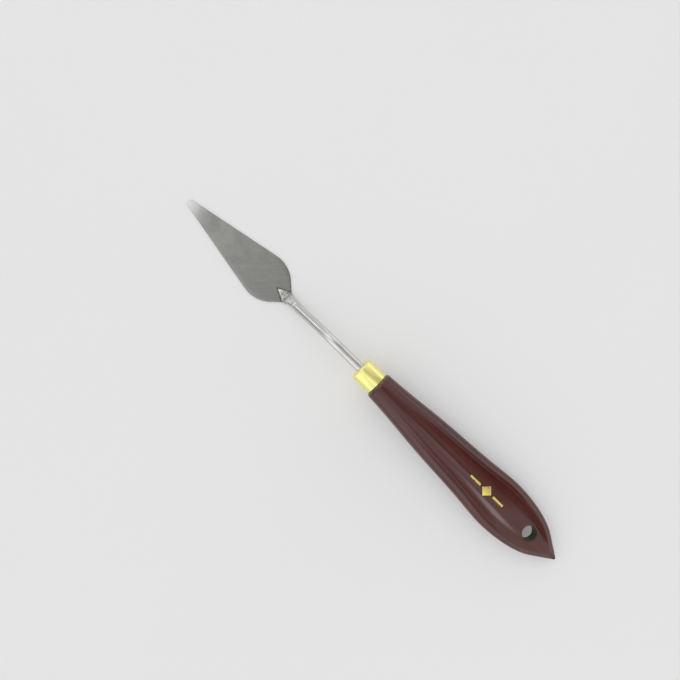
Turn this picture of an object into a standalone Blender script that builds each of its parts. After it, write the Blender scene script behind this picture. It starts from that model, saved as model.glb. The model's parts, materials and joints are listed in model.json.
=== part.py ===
"""Painting knife with a trowel-shaped blade, a cranked round shank, a brass ferrule
and a lacquered wooden handle.

Metres, +Z up. The knife lies along X with the blade's tip at +X, and its origin is on
the table under the middle of its length. The blade's underside lies on the table, and
so does the belly of the handle, which is pitched a little so that its front end is high.
"""

import math

import bmesh
import bpy
from mathutils import Vector

MM = 0.001

# ---- Driving dimensions ----------------------------------------------------------------

LENGTH = 206.8 * MM                      # blade tip to handle tail, seen from above

# Blade: sheet steel, ground thinner towards the tip
BLADE_LENGTH = 57.5 * MM                 # its last few millimetres are under the pad
BLADE_THICKNESS_HEEL = 0.6 * MM
BLADE_THICKNESS_TIP = 0.4 * MM
BLADE_TIP_RADIUS = 1.65 * MM
BLADE_SIDE_ANGLE = math.radians(10.8)    # each long side to the centre line
BLADE_HEEL_ANGLE = math.radians(42.8)    # each heel side to the centre line
BLADE_SHOULDER = 47.45 * MM              # tip to where side and heel lines would cross
BLADE_SHOULDER_RADIUS = 13.0 * MM
BLADE_NECK_HALF_WIDTH = 2.2 * MM
BLADE_NECK_RADIUS = 3.0 * MM
BLADE_END_RADIUS = 0.9 * MM

# Shank: one steel rod, forged flat at its front end into an arrow-shaped pad
SHANK_RADIUS = 1.9 * MM
PAD_START = 50.9 * MM                    # blade tip to the pad's own tip
PAD_HALF_THICKNESS = 0.6 * MM
LOWER_BEND = 57.6 * MM                   # blade tip to the bend behind the pad
LOWER_BEND_RADIUS = 7.0 * MM
UPPER_BEND = 79.0 * MM                   # blade tip to the bend in front of the ferrule
UPPER_BEND_RADIUS = 21.0 * MM
TANG_DEPTH = 32.0 * MM                   # rod inside the handle, behind its front face
TANG_CHAMFER = 0.5 * MM

# Distance from the pad's tip, half width, half thickness, exponent of the section
SHANK_SECTIONS = [
    (0.0 * MM, 0.3 * MM, 0.35 * MM, 3.0),
    (4.8 * MM, 2.60 * MM, PAD_HALF_THICKNESS, 4.0),
    (5.8 * MM, 2.52 * MM, PAD_HALF_THICKNESS, 4.0),
    (7.6 * MM, 1.96 * MM, 0.78 * MM, 3.0),
    (12.0 * MM, SHANK_RADIUS, SHANK_RADIUS, 2.0),
]

# Spot welds between pad and blade
WELD_GAP = 0.3 * MM                      # blade to pad
WELD_RADIUS = 0.7 * MM
WELD_STATIONS = {"spot_weld_front": 53.7 * MM, "spot_weld_rear": 56.0 * MM}

# Ferrule: a drawn brass cup with a hole in its front
FERRULE_RADIUS = 5.0 * MM
FERRULE_WALL = 0.4 * MM
FERRULE_LENGTH = 9.1 * MM
FERRULE_EDGE_RADIUS = 0.6 * MM
FERRULE_HOLE_CLEARANCE = 0.08 * MM
FERRULE_TO_HANDLE = 0.1 * MM

# Handle: hardwood, round at the front, an oval behind
HANDLE_LENGTH = 100.9 * MM
HANDLE_PITCH = math.radians(3.0)
HANDLE_FRONT_RADIUS = 5.85 * MM
HANDLE_CHAMFER = 0.8 * MM
TENON_CLEARANCE = 0.06 * MM
TENON_LENGTH = 8.3 * MM
TENON_CHAMFER = 0.4 * MM
TANG_BORE_RADIUS = 2.3 * MM
TANG_BORE_DEPTH = 33.0 * MM
HANG_HOLE_RADIUS = 3.0 * MM
HANG_HOLE_FROM_TAIL = 16.1 * MM

# Half width (Y) and half thickness (Z) of the handle at distances from its front face
HANDLE_HALF_WIDTHS = [
    (0.0 * MM, 5.80 * MM),
    (12.5 * MM, 6.70 * MM),
    (24.5 * MM, 7.90 * MM),
    (36.5 * MM, 8.84 * MM),
    (48.5 * MM, 9.58 * MM),
    (58.5 * MM, 10.43 * MM),
    (67.5 * MM, 11.17 * MM),
    (74.5 * MM, 10.94 * MM),
    (80.5 * MM, 10.16 * MM),
    (86.5 * MM, 8.66 * MM),
    (91.0 * MM, 6.80 * MM),
    (96.0 * MM, 3.60 * MM),
    (99.1 * MM, 1.55 * MM),
    (100.9 * MM, 0.32 * MM),
]
HANDLE_HALF_THICKNESSES = [
    (0.0 * MM, 5.80 * MM),
    (14.5 * MM, 6.10 * MM),
    (30.5 * MM, 6.20 * MM),
    (48.5 * MM, 6.15 * MM),
    (60.5 * MM, 6.00 * MM),
    (70.5 * MM, 5.65 * MM),
    (78.5 * MM, 5.15 * MM),
    (86.5 * MM, 4.45 * MM),
    (91.5 * MM, 3.70 * MM),
    (96.0 * MM, 2.45 * MM),
    (99.1 * MM, 1.00 * MM),
    (100.9 * MM, 0.30 * MM),
]

# Adhesive around the tang
GLUE_FRONT_SETBACK = 0.5 * MM

# Gold foil ornament on the handle's upper side: a lozenge between two bars
FOIL_THICKNESS = 0.12 * MM
FOIL_CENTRE = 60.2 * MM                  # from the handle's front face
FOIL_LOZENGE_HALF = 2.5 * MM
FOIL_BAR_LENGTH = 5.4 * MM
FOIL_BAR_HALF_WIDTH = 0.45 * MM
FOIL_BAR_SPACE = 1.0 * MM                # lozenge's corner to the bar

CONTACT_GAP = 0.04 * MM                  # between thin fillings and what they touch

# Mesh fineness
HANDLE_SEGMENTS = 48
HANDLE_RING_STEP = 3.0 * MM
FERRULE_SEGMENTS = 48
SHANK_SEGMENTS = 20
SHANK_STRAIGHT_STEPS = 6                 # most rings along one straight stretch
WELD_SEGMENTS = 16
TANG_BORE_SEGMENTS = 24
HANG_HOLE_SEGMENTS = 40
EDGE_STEPS = 3
FOIL_STEPS = 5
ARC_STEP = math.radians(9.0)


# ---- Derived values --------------------------------------------------------------------

HANDLE_START = LENGTH - HANDLE_LENGTH * math.cos(HANDLE_PITCH)   # from the blade's tip
FERRULE_FRONT = -(FERRULE_LENGTH + FERRULE_TO_HANDLE)            # from the handle's front face
TENON_RADIUS = FERRULE_RADIUS - FERRULE_WALL - TENON_CLEARANCE
PAD_BOTTOM = BLADE_THICKNESS_HEEL + WELD_GAP
HANG_HOLE = HANDLE_LENGTH - HANG_HOLE_FROM_TAIL                  # from the handle's front face


def along(distance_from_tip):
    """World X of a point at this distance from the blade's tip."""
    return LENGTH / 2.0 - distance_from_tip


# ---- Curves ----------------------------------------------------------------------------

def curve_value(stations, position):
    """Value at position of a smooth curve through (position, value) stations."""
    count = len(stations)
    index = 0
    while index < count - 2 and position > stations[index + 1][0]:
        index += 1

    def slope(station):
        before = stations[max(station - 1, 0)]
        after = stations[min(station + 1, count - 1)]
        return (after[1] - before[1]) / (after[0] - before[0])

    x0, y0 = stations[index]
    x1, y1 = stations[index + 1]
    span = x1 - x0
    t = min(max((position - x0) / span, 0.0), 1.0)
    return ((1.0 + 2.0 * t) * (1.0 - t) ** 2 * y0 + t * (1.0 - t) ** 2 * span * slope(index)
            + t * t * (3.0 - 2.0 * t) * y1 - t * t * (1.0 - t) * span * slope(index + 1))


def handle_half_width(position):
    return curve_value(HANDLE_HALF_WIDTHS, position)


def handle_half_thickness(position):
    return curve_value(HANDLE_HALF_THICKNESSES, position)


def rounded_path(corners, closed):
    """Points of a path in which each (x, y, radius) corner is an arc."""
    points = []
    count = len(corners)
    for index, (x, y, radius) in enumerate(corners):
        corner = Vector((x, y))
        is_end = not closed and index in (0, count - 1)
        if is_end or radius <= 0.0:
            points.append(corner)
            continue
        to_previous = (Vector(corners[index - 1][:2]) - corner).normalized()
        to_next = (Vector(corners[(index + 1) % count][:2]) - corner).normalized()
        half_angle = to_previous.angle(to_next) / 2.0
        turn = math.pi - 2.0 * half_angle
        bisector = (to_previous + to_next).normalized()
        centre = corner + bisector * (radius / math.sin(half_angle))
        start = corner + to_previous * (radius / math.tan(half_angle)) - centre
        steps = max(2, math.ceil(turn / ARC_STEP))
        side = 1.0 if start.cross(corner - centre) > 0.0 else -1.0
        for step in range(steps + 1):
            angle = side * turn * step / steps
            turned_x = start.x * math.cos(angle) - start.y * math.sin(angle)
            turned_y = start.x * math.sin(angle) + start.y * math.cos(angle)
            points.append(centre + Vector((turned_x, turned_y)))
    return points


# ---- Objects ---------------------------------------------------------------------------

def clear_scene():
    for item in list(bpy.data.objects):
        bpy.data.objects.remove(item, do_unlink=True)


def make_material(name, colour, roughness, metallic):
    material = bpy.data.materials.new(name)
    material.use_nodes = True
    shader = material.node_tree.nodes["Principled BSDF"]
    shader.inputs["Base Color"].default_value = (*colour, 1.0)
    shader.inputs["Roughness"].default_value = roughness
    shader.inputs["Metallic"].default_value = metallic
    material.diffuse_color = (*colour, 1.0)
    return material


def add_object(name, solid, material, parent=None, smooth_angle=math.radians(35.0)):
    """Turn a bmesh solid into a named object, shaded smooth up to smooth_angle."""
    bmesh.ops.recalc_face_normals(solid, faces=solid.faces)
    mesh = bpy.data.meshes.new(name)
    solid.to_mesh(mesh)
    solid.free()
    mesh.materials.append(material)
    mesh.shade_smooth()
    mesh.set_sharp_from_angle(angle=smooth_angle)
    item = bpy.data.objects.new(name, mesh)
    bpy.context.scene.collection.objects.link(item)
    item.parent = parent
    return item


def add_cutter(name, solid, parent):
    cutter = add_object(name, solid, None, parent)
    cutter.hide_render = True
    cutter.display_type = "WIRE"
    return cutter


def cut(item, cutter):
    boolean = item.modifiers.new("cut_" + cutter.name, "BOOLEAN")
    boolean.operation = "DIFFERENCE"
    boolean.object = cutter


# ---- Solids ----------------------------------------------------------------------------

def loft(rings):
    """Closed solid through rings of equal point counts; its two end rings are capped."""
    solid = bmesh.new()
    loops = [[solid.verts.new(point) for point in ring] for ring in rings]
    count = len(loops[0])
    for lower, upper in zip(loops, loops[1:]):
        for index in range(count):
            following = (index + 1) % count
            solid.faces.new((lower[index], lower[following], upper[following], upper[index]))
    solid.faces.new(loops[0])
    solid.faces.new(loops[-1])
    return solid


def turned(profile, segments):
    """Solid turned about the X axis from a closed profile of (x, radius) points."""
    solid = bmesh.new()
    loops = []
    for segment in range(segments):
        angle = 2.0 * math.pi * segment / segments
        loops.append([solid.verts.new((x, radius * math.cos(angle), radius * math.sin(angle)))
                      for x, radius in profile])
    count = len(profile)
    for segment in range(segments):
        near = loops[segment]
        far = loops[(segment + 1) % segments]
        for index in range(count):
            following = (index + 1) % count
            solid.faces.new((near[index], near[following], far[following], far[index]))
    bmesh.ops.remove_doubles(solid, verts=solid.verts, dist=0.001 * MM)
    return solid


def cylinder(radius, start, end, segments):
    """Cylinder from start to end."""
    solid = bmesh.new()
    axis = end - start
    bmesh.ops.create_cone(solid, cap_ends=True, segments=segments,
                          radius1=radius, radius2=radius, depth=axis.length)
    bmesh.ops.rotate(solid, verts=solid.verts,
                     matrix=Vector((0.0, 0.0, 1.0)).rotation_difference(axis).to_matrix())
    bmesh.ops.translate(solid, verts=solid.verts, vec=(start + end) / 2.0)
    return solid


def oval_ring(centre, across, upward, half_width, half_height, exponent, segments):
    """Ring of points on a superellipse; exponent 2 is an ellipse, more is squarer."""
    ring = []
    for segment in range(segments):
        angle = 2.0 * math.pi * segment / segments
        cosine = math.cos(angle)
        sine = math.sin(angle)
        y = math.copysign(abs(cosine) ** (2.0 / exponent), cosine) * half_width
        z = math.copysign(abs(sine) ** (2.0 / exponent), sine) * half_height
        ring.append(centre + across * y + upward * z)
    return ring


# ---- Blade -----------------------------------------------------------------------------

def blade_outline():
    """Outline from above, as distances from the tip and from the centre line."""
    apex = -BLADE_TIP_RADIUS * (1.0 / math.sin(BLADE_SIDE_ANGLE) - 1.0)
    shoulder_half = (BLADE_SHOULDER - apex) * math.tan(BLADE_SIDE_ANGLE)
    neck = BLADE_SHOULDER + (shoulder_half - BLADE_NECK_HALF_WIDTH) / math.tan(BLADE_HEEL_ANGLE)
    half = [
        (BLADE_SHOULDER, shoulder_half, BLADE_SHOULDER_RADIUS),
        (neck, BLADE_NECK_HALF_WIDTH, BLADE_NECK_RADIUS),
        (BLADE_LENGTH, BLADE_NECK_HALF_WIDTH, BLADE_END_RADIUS),
    ]
    other_half = [(x, -y, radius) for x, y, radius in reversed(half)]
    return rounded_path([(apex, 0.0, BLADE_TIP_RADIUS)] + half + other_half, closed=True)


def blade_thickness(distance_from_tip):
    share = distance_from_tip / BLADE_LENGTH
    return BLADE_THICKNESS_TIP + (BLADE_THICKNESS_HEEL - BLADE_THICKNESS_TIP) * share


def build_blade(material):
    outline = blade_outline()
    bottom = [(along(point.x), point.y, 0.0) for point in outline]
    top = [(along(point.x), point.y, blade_thickness(point.x)) for point in outline]
    return add_object("blade", loft([bottom, top]), material)


# ---- Shank -----------------------------------------------------------------------------

def handle_front_height():
    """Height of the handle's axis at its front face, with its belly on the table."""
    return max(position * math.sin(HANDLE_PITCH)
               + handle_half_thickness(position) * math.cos(HANDLE_PITCH)
               for position in handle_stations())


def handle_axis_point(position):
    """Point on the handle's axis, as (distance from the blade's tip, height)."""
    return (HANDLE_START + position * math.cos(HANDLE_PITCH),
            handle_front_height() - position * math.sin(HANDLE_PITCH))


def shank_path():
    """Centre line as (distance from the blade's tip, height), pad first."""
    pad_height = PAD_BOTTOM + PAD_HALF_THICKNESS
    upper_position = (UPPER_BEND - HANDLE_START) / math.cos(HANDLE_PITCH)
    upper = handle_axis_point(upper_position)
    tang_end = handle_axis_point(TANG_DEPTH)
    bends = rounded_path([
        (PAD_START, pad_height, 0.0),
        (LOWER_BEND, pad_height, LOWER_BEND_RADIUS),
        (upper[0], upper[1], UPPER_BEND_RADIUS),
        (tang_end[0], tang_end[1], 0.0),
    ], closed=False)
    points = []
    for start, end in zip(bends, bends[1:]):
        steps = math.ceil((end - start).length / (2.0 * SHANK_RADIUS))
        steps = min(max(steps, 1), SHANK_STRAIGHT_STEPS)
        points += [start.lerp(end, step / steps) for step in range(steps)]
    chamfer_start = bends[-1] + (bends[-2] - bends[-1]).normalized() * TANG_CHAMFER
    return points + [chamfer_start, bends[-1]]


def shank_section(distance):
    """Half width, half thickness and exponent at a distance from the pad's tip."""
    index = 0
    while index < len(SHANK_SECTIONS) - 2 and distance > SHANK_SECTIONS[index + 1][0]:
        index += 1
    before, after = SHANK_SECTIONS[index:index + 2]
    share = min((distance - before[0]) / (after[0] - before[0]), 1.0)
    return tuple(a + (b - a) * share for a, b in zip(before[1:], after[1:]))


def build_shank(material):
    path = shank_path()
    across = Vector((0.0, 1.0, 0.0))
    rings = []
    distance = 0.0
    for index, point in enumerate(path):
        before = path[max(index - 1, 0)]
        after = path[min(index + 1, len(path) - 1)]
        direction = (after - before).normalized()
        upward = Vector((direction.y, 0.0, direction.x))
        distance += (point - before).length
        half_width, half_height, exponent = shank_section(distance)
        if index == len(path) - 1:
            half_width -= TANG_CHAMFER
            half_height -= TANG_CHAMFER
        thinned = max(0.0, PAD_HALF_THICKNESS - half_height)
        centre = Vector((along(point.x), 0.0, point.y)) - upward * thinned
        rings.append(oval_ring(centre, across, upward, half_width, half_height,
                               exponent, SHANK_SEGMENTS))
    return add_object("shank", loft(rings), material)


def build_spot_welds(material):
    for name, station in WELD_STATIONS.items():
        start = Vector((along(station), 0.0, blade_thickness(station) + CONTACT_GAP))
        end = Vector((along(station), 0.0, PAD_BOTTOM - CONTACT_GAP))
        add_object(name, cylinder(WELD_RADIUS, start, end, WELD_SEGMENTS), material)


# ---- Handle group: X is the distance from the handle's front face, towards the tail -----

def handle_stations():
    """Positions of the handle's rings behind its rounded front edge, closer at the tail."""
    behind_edge = HANDLE_LENGTH - HANDLE_CHAMFER
    count = math.ceil(behind_edge / HANDLE_RING_STEP)
    even = [HANDLE_CHAMFER + behind_edge * step / count for step in range(count + 1)]
    tail = [HANDLE_LENGTH - HANDLE_RING_STEP * share for share in (0.17, 0.5)]
    return sorted(even + tail)


def build_handle(material, parent):
    across = Vector((0.0, 1.0, 0.0))
    upward = Vector((0.0, 0.0, 1.0))

    def ring(position, half_width, half_thickness):
        return oval_ring(Vector((position, 0.0, 0.0)), across, upward,
                         half_width, half_thickness, 2.0, HANDLE_SEGMENTS)

    tenon_tip = TENON_RADIUS - TENON_CHAMFER
    rings = [
        ring(-TENON_LENGTH, tenon_tip, tenon_tip),
        ring(-TENON_LENGTH + TENON_CHAMFER, TENON_RADIUS, TENON_RADIUS),
        ring(0.0, TENON_RADIUS, TENON_RADIUS),
    ]
    for step in range(EDGE_STEPS):
        angle = math.pi / 2.0 * step / EDGE_STEPS
        position = HANDLE_CHAMFER * (1.0 - math.cos(angle))
        radius = HANDLE_FRONT_RADIUS - HANDLE_CHAMFER * (1.0 - math.sin(angle))
        rings.append(ring(position, radius, radius))
    rings += [ring(position, handle_half_width(position), handle_half_thickness(position))
              for position in handle_stations()]
    handle = add_object("handle", loft(rings), material, parent)

    bore_start = Vector((FERRULE_FRONT, 0.0, 0.0))
    bore_end = Vector((TANG_BORE_DEPTH, 0.0, 0.0))
    bore = cylinder(TANG_BORE_RADIUS, bore_start, bore_end, TANG_BORE_SEGMENTS)
    cut(handle, add_cutter("tang_bore_cutter", bore, parent))

    reach = upward * (2.0 * handle_half_thickness(HANG_HOLE))
    middle = Vector((HANG_HOLE, 0.0, 0.0))
    hole = cylinder(HANG_HOLE_RADIUS, middle - reach, middle + reach, HANG_HOLE_SEGMENTS)
    cut(handle, add_cutter("hang_hole_cutter", hole, parent))


def build_ferrule(material, parent):
    inner = FERRULE_RADIUS - FERRULE_WALL
    hole = SHANK_RADIUS + FERRULE_HOLE_CLEARANCE
    rear = -FERRULE_TO_HANDLE
    outline = rounded_path([
        (FERRULE_FRONT, hole, 0.0),
        (FERRULE_FRONT, FERRULE_RADIUS, FERRULE_EDGE_RADIUS),
        (rear, FERRULE_RADIUS, 0.0),
        (rear, inner, 0.0),
        (FERRULE_FRONT + FERRULE_WALL, inner, 0.0),
        (FERRULE_FRONT + FERRULE_WALL, hole, 0.0),
    ], closed=True)
    profile = [(point.x, point.y) for point in outline]
    add_object("ferrule", turned(profile, FERRULE_SEGMENTS), material, parent)


def build_tang_adhesive(material, parent):
    """Cup of set adhesive that fills the bore around the tang and behind it."""
    inner = SHANK_RADIUS + CONTACT_GAP
    outer = TANG_BORE_RADIUS - CONTACT_GAP
    front = -TENON_LENGTH + GLUE_FRONT_SETBACK
    profile = [
        (front, inner),
        (front, outer),
        (TANG_BORE_DEPTH - CONTACT_GAP, outer),
        (TANG_BORE_DEPTH - CONTACT_GAP, 0.0),
        (TANG_DEPTH + CONTACT_GAP, 0.0),
        (TANG_DEPTH + CONTACT_GAP, inner),
    ]
    solid = turned(profile, TANG_BORE_SEGMENTS)
    bmesh.ops.dissolve_degenerate(solid, edges=solid.edges, dist=0.001 * MM)
    add_object("tang_adhesive", solid, material, parent)


def handle_top(position, y):
    """Height of the handle's upper side above its axis."""
    return handle_half_thickness(position) * math.sqrt(1.0 - (y / handle_half_width(position)) ** 2)


def build_foil(name, corners, material, parent):
    """Thin plate with four corners, bent over the handle's upper side."""
    levels = []
    solid = bmesh.new()
    for height in (CONTACT_GAP, CONTACT_GAP + FOIL_THICKNESS):
        grid = []
        for row in range(FOIL_STEPS + 1):
            left = corners[0].lerp(corners[3], row / FOIL_STEPS)
            right = corners[1].lerp(corners[2], row / FOIL_STEPS)
            points = [left.lerp(right, column / FOIL_STEPS) for column in range(FOIL_STEPS + 1)]
            grid.append([solid.verts.new((p.x, p.y, handle_top(p.x, p.y) + height))
                         for p in points])
        levels.append(grid)
    for grid in levels:
        for row in range(FOIL_STEPS):
            for column in range(FOIL_STEPS):
                solid.faces.new((grid[row][column], grid[row][column + 1],
                                 grid[row + 1][column + 1], grid[row + 1][column]))
    rims = []
    for grid in levels:
        rims.append(grid[0][:-1] + [row[-1] for row in grid[:-1]]
                    + grid[-1][:0:-1] + [row[0] for row in grid[:0:-1]])
    count = len(rims[0])
    for index in range(count):
        following = (index + 1) % count
        solid.faces.new((rims[0][index], rims[0][following],
                         rims[1][following], rims[1][index]))
    add_object(name, solid, material, parent)


def build_foil_ornament(material, parent):
    half = FOIL_LOZENGE_HALF
    lozenge = [Vector((FOIL_CENTRE - half, 0.0)), Vector((FOIL_CENTRE, -half)),
               Vector((FOIL_CENTRE + half, 0.0)), Vector((FOIL_CENTRE, half))]
    build_foil("foil_lozenge", lozenge, material, parent)
    for name, side in (("foil_bar_front", -1.0), ("foil_bar_rear", 1.0)):
        near = FOIL_CENTRE + side * (half + FOIL_BAR_SPACE)
        far = near + side * FOIL_BAR_LENGTH
        bar = [Vector((min(near, far), -FOIL_BAR_HALF_WIDTH)),
               Vector((max(near, far), -FOIL_BAR_HALF_WIDTH)),
               Vector((max(near, far), FOIL_BAR_HALF_WIDTH)),
               Vector((min(near, far), FOIL_BAR_HALF_WIDTH))]
        build_foil(name, bar, material, parent)


def add_handle_frame():
    """Empty at the centre of the handle's front face, its X axis towards the tail."""
    frame = bpy.data.objects.new("handle_frame", None)
    front = handle_axis_point(0.0)
    frame.location = (along(front[0]), 0.0, front[1])
    frame.rotation_euler = (0.0, HANDLE_PITCH, math.pi)
    bpy.context.scene.collection.objects.link(frame)
    return frame


def main():
    clear_scene()
    blade_steel = make_material("blade_steel", (0.24, 0.235, 0.225), 0.38, 1.0)
    shank_steel = make_material("shank_steel", (0.55, 0.55, 0.53), 0.22, 1.0)
    weld_steel = make_material("weld_steel", (0.20, 0.19, 0.18), 0.55, 1.0)
    brass = make_material("brass", (0.83, 0.70, 0.27), 0.25, 1.0)
    lacquered_wood = make_material("lacquered_wood", (0.10, 0.022, 0.022), 0.25, 0.0)
    adhesive = make_material("adhesive", (0.55, 0.42, 0.20), 0.5, 0.0)
    gold_foil = make_material("gold_foil", (0.76, 0.60, 0.22), 0.35, 1.0)

    build_blade(blade_steel)
    build_shank(shank_steel)
    build_spot_welds(weld_steel)

    handle_frame = add_handle_frame()
    build_ferrule(brass, handle_frame)
    build_handle(lacquered_wood, handle_frame)
    build_tang_adhesive(adhesive, handle_frame)
    build_foil_ornament(gold_foil, handle_frame)


main()
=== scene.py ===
"""Looks of the painting knife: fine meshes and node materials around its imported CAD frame.

Metres, +Z up. The blade's tip is at +X. Distances written as `from_tip` run from the
blade's tip towards the tail; the handle's own X runs from its front face to the tail.
"""

import json
import math

import bmesh
import bpy
import numpy as np
from mathutils import Matrix, Vector

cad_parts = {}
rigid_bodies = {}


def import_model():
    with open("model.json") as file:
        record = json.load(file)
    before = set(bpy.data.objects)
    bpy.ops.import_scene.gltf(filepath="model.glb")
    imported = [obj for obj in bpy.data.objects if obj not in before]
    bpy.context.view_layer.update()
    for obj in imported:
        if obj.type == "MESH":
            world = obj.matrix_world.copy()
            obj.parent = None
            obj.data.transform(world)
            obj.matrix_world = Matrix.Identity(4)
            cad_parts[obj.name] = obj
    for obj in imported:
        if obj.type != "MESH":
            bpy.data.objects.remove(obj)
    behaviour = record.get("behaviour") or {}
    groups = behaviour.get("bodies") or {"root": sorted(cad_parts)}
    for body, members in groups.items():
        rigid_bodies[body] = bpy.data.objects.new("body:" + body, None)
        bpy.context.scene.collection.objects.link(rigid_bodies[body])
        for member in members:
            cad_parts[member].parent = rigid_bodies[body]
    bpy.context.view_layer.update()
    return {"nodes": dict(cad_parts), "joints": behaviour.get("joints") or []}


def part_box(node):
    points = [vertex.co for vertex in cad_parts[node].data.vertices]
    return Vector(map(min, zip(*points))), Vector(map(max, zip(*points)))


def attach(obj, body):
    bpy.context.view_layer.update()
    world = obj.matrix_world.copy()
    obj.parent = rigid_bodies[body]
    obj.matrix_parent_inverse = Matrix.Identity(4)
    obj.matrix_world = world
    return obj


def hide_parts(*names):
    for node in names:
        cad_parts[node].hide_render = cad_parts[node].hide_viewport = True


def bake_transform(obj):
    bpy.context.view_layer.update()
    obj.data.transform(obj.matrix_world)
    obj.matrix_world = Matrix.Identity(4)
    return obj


MM = 0.001

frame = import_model()

# ---- Places, from the frame ------------------------------------------------------------

TIP_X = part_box("blade")[1].x
BLADE_LENGTH = TIP_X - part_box("blade")[0].x
BLADE_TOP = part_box("blade")[1].z
PAD_START = TIP_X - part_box("shank")[1].x
FERRULE_CENTRE = (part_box("ferrule")[0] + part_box("ferrule")[1]) / 2.0
GRIP_BODY = frame["joints"][0]["parent"]

# ---- Shapes' own dimensions ------------------------------------------------------------

BLADE_THICKNESS_TIP = 0.4 * MM
BLADE_TIP_RADIUS = 1.65 * MM
BLADE_SIDE_ANGLE = math.radians(10.8)
BLADE_HEEL_ANGLE = math.radians(42.8)
BLADE_SHOULDER = 47.45 * MM
BLADE_SHOULDER_RADIUS = 13.0 * MM
BLADE_NECK_HALF_WIDTH = 2.2 * MM
BLADE_NECK_RADIUS = 3.0 * MM
BLADE_END_RADIUS = 0.9 * MM
BLADE_MARGIN = 0.2 * MM

SHANK_RADIUS = 1.9 * MM
PAD_TOP = 2.1 * MM
PAD_SIDE_ANGLE = math.radians(28.4)
LOWER_BEND = 57.6 * MM
LOWER_BEND_RADIUS = 7.0 * MM
UPPER_BEND = 79.0 * MM
UPPER_BEND_RADIUS = 21.0 * MM
TANG_DEPTH = 32.0 * MM
TANG_CHAMFER = 0.5 * MM

# Weld dimples in the pad: from the pad's tip, off the centre line, radius, depth
DIMPLES = [
    (1.6 * MM, 0.05 * MM, 0.35 * MM, 0.05 * MM),
    (4.3 * MM, -1.75 * MM, 0.45 * MM, 0.16 * MM),
    (5.3 * MM, 0.15 * MM, 0.80 * MM, 0.10 * MM),
]
# A dimple's form, with its radius as the unit: a bowl and a low raised rim
DIMPLE_REACH = 1.6
BOWL_SHARPNESS = 1.8
RIM_HEIGHT = 0.25
RIM_RADIUS = 1.15
RIM_SHARPNESS = 18.0
DARKEST_DIMPLE = 0.14 * MM

# From the pad's tip: half width, reach below and above the centre line, and exponent
SHANK_SECTIONS = [
    (0.0, 0.16 * MM, 0.72 * MM, -0.10 * MM, 2.6),
    (0.5 * MM, 0.50 * MM, 0.74 * MM, 0.22 * MM, 3.0),
    (2.0 * MM, 1.25 * MM, 0.75 * MM, 0.50 * MM, 4.5),
    (3.6 * MM, 2.05 * MM, 0.75 * MM, 0.56 * MM, 5.0),
    (4.6 * MM, 2.55 * MM, 0.75 * MM, 0.58 * MM, 5.0),
    (5.6 * MM, 2.48 * MM, 0.75 * MM, 0.64 * MM, 4.6),
    (6.8 * MM, 2.14 * MM, 0.78 * MM, 0.82 * MM, 3.4),
    (8.4 * MM, 1.94 * MM, 0.98 * MM, 1.14 * MM, 2.6),
    (10.5 * MM, SHANK_RADIUS, 1.50 * MM, 1.55 * MM, 2.1),
    (12.5 * MM, SHANK_RADIUS, SHANK_RADIUS, SHANK_RADIUS, 2.0),
]
SMOOTH_SECTIONS_FROM = 5.0 * MM
# A section within this of the full rod counts as the full rod
FULL_ROUND_SLACK = 0.001 * MM

FERRULE_RADIUS = 5.0 * MM
FERRULE_WALL = 0.4 * MM
FERRULE_LENGTH = 9.1 * MM
FERRULE_TO_HANDLE = 0.1 * MM
FERRULE_TO_SHANK = 0.06 * MM

HANDLE_PITCH = math.radians(3.0)
HANDLE_FRONT_RADIUS = 5.85 * MM
HANDLE_CHAMFER = 0.8 * MM
HANDLE_FACE_DROP = 0.05 * MM
HANDLE_FACE_MARGIN = 0.15 * MM
HANDLE_NOSE = 0.4 * MM
TENON_RADIUS = 4.54 * MM
TENON_LENGTH = 8.3 * MM
TENON_CHAMFER = 0.4 * MM
TANG_BORE_RADIUS = 2.3 * MM
TANG_BORE_DEPTH = 33.0 * MM
HANG_HOLE_RADIUS = 3.0 * MM
HANG_HOLE_LIP = 0.6 * MM
HANG_HOLE_PATCH = 0.9 * MM
HANG_HOLE_FROM_TAIL = 16.1 * MM
HANDLE_LENGTH = 100.9 * MM

# Half width and half thickness of the handle at distances from its front face
HANDLE_HALF_WIDTHS = [
    (0.0 * MM, 5.80 * MM),
    (12.5 * MM, 6.70 * MM),
    (24.5 * MM, 7.90 * MM),
    (36.5 * MM, 8.84 * MM),
    (48.5 * MM, 9.58 * MM),
    (58.5 * MM, 10.43 * MM),
    (67.5 * MM, 11.17 * MM),
    (74.5 * MM, 10.94 * MM),
    (80.5 * MM, 10.16 * MM),
    (86.5 * MM, 8.66 * MM),
    (91.0 * MM, 6.80 * MM),
    (96.0 * MM, 3.60 * MM),
    (99.1 * MM, 1.55 * MM),
    (100.9 * MM, 0.32 * MM),
]
HANDLE_HALF_THICKNESSES = [
    (0.0 * MM, 5.80 * MM),
    (14.5 * MM, 6.10 * MM),
    (30.5 * MM, 6.20 * MM),
    (48.5 * MM, 6.15 * MM),
    (60.5 * MM, 6.00 * MM),
    (70.5 * MM, 5.65 * MM),
    (78.5 * MM, 5.15 * MM),
    (86.5 * MM, 4.45 * MM),
    (91.5 * MM, 3.70 * MM),
    (96.0 * MM, 2.45 * MM),
    (99.1 * MM, 1.00 * MM),
    (100.9 * MM, 0.30 * MM),
]

# ---- Fineness of the meshes ------------------------------------------------------------

BLADE_STEP = 1.0 * MM
BLADE_ARC_STEP = math.radians(6.0)
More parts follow.
